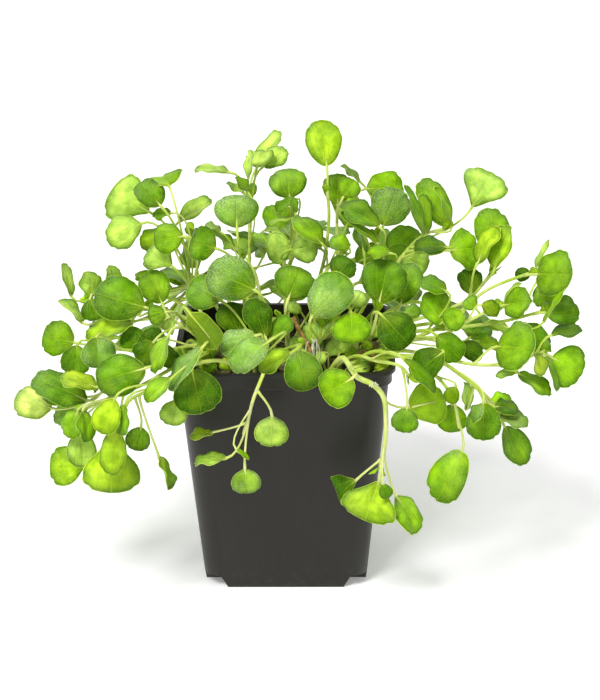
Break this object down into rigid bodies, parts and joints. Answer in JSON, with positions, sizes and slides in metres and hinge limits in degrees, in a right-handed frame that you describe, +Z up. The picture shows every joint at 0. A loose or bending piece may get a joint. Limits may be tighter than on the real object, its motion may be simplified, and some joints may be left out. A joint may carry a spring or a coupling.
{
  "type": "potted garden cress",
  "caption": "A square tapered nursery pot filled with compost, with a low spreading clump of long-stemmed round-leaved cress that hangs over its rim.",
  "frame": {"origin": "middle of the flat underside of the pot", "axes": "+Z up, +X to the right and +Y away from a viewer who faces the pot's seen side; the underside faces -Z"},
  "size_m": [0.2302, 0.1876, 0.1876],
  "materials": {
    "pot": "satin",
    "soil": "matte",
    "leaf": "satin",
    "stem": "satin",
    "moss": "matte",
    "litter": "matte"
  },
  "bodies": {
    "root": {"pot": "pot", "soil": "soil", "shoot_back_high_1": "leaf", "shoot_back_high_2": "leaf", "shoot_back_high_3": "leaf", "shoot_back_high_4": "leaf", "shoot_back_high_5": "leaf", "shoot_back_left_tall": "leaf", "shoot_back_low_1": "leaf", "shoot_back_low_2": "leaf", "shoot_back_low_3": "leaf", "shoot_back_low_4": "leaf", "shoot_back_low_5": "leaf", "shoot_back_low_6": "leaf", "shoot_back_low_7": "leaf", "shoot_back_middle": "leaf", "shoot_centre": "leaf", "shoot_centre_front": "leaf", "shoot_centre_left": "leaf", "shoot_centre_left_low": "leaf", "shoot_centre_right": "leaf", "shoot_far_right": "leaf", "shoot_far_right_low": "leaf", "shoot_front_hanging": "leaf", "shoot_high_left": "leaf", "shoot_left_front": "leaf", "shoot_left_hanging": "leaf", "shoot_left_hanging_inner": "leaf", "shoot_left_low_outer": "leaf", "shoot_left_lower": "leaf", "shoot_left_middle": "leaf", "shoot_left_tip": "leaf", "shoot_lower_right": "leaf", "shoot_lower_right_inner": "leaf", "shoot_lower_right_low": "leaf", "shoot_mid_right": "leaf", "shoot_mid_right_low": "leaf", "shoot_right": "leaf", "shoot_right_hanging": "leaf", "shoot_right_high": "leaf", "shoot_right_middle": "leaf", "shoot_tallest": "leaf", "shoot_top_right": "leaf", "shoot_top_right_inner": "leaf", "shoot_top_right_outer": "leaf", "shoot_upper_left": "leaf"}
  },
  "joints": []
}
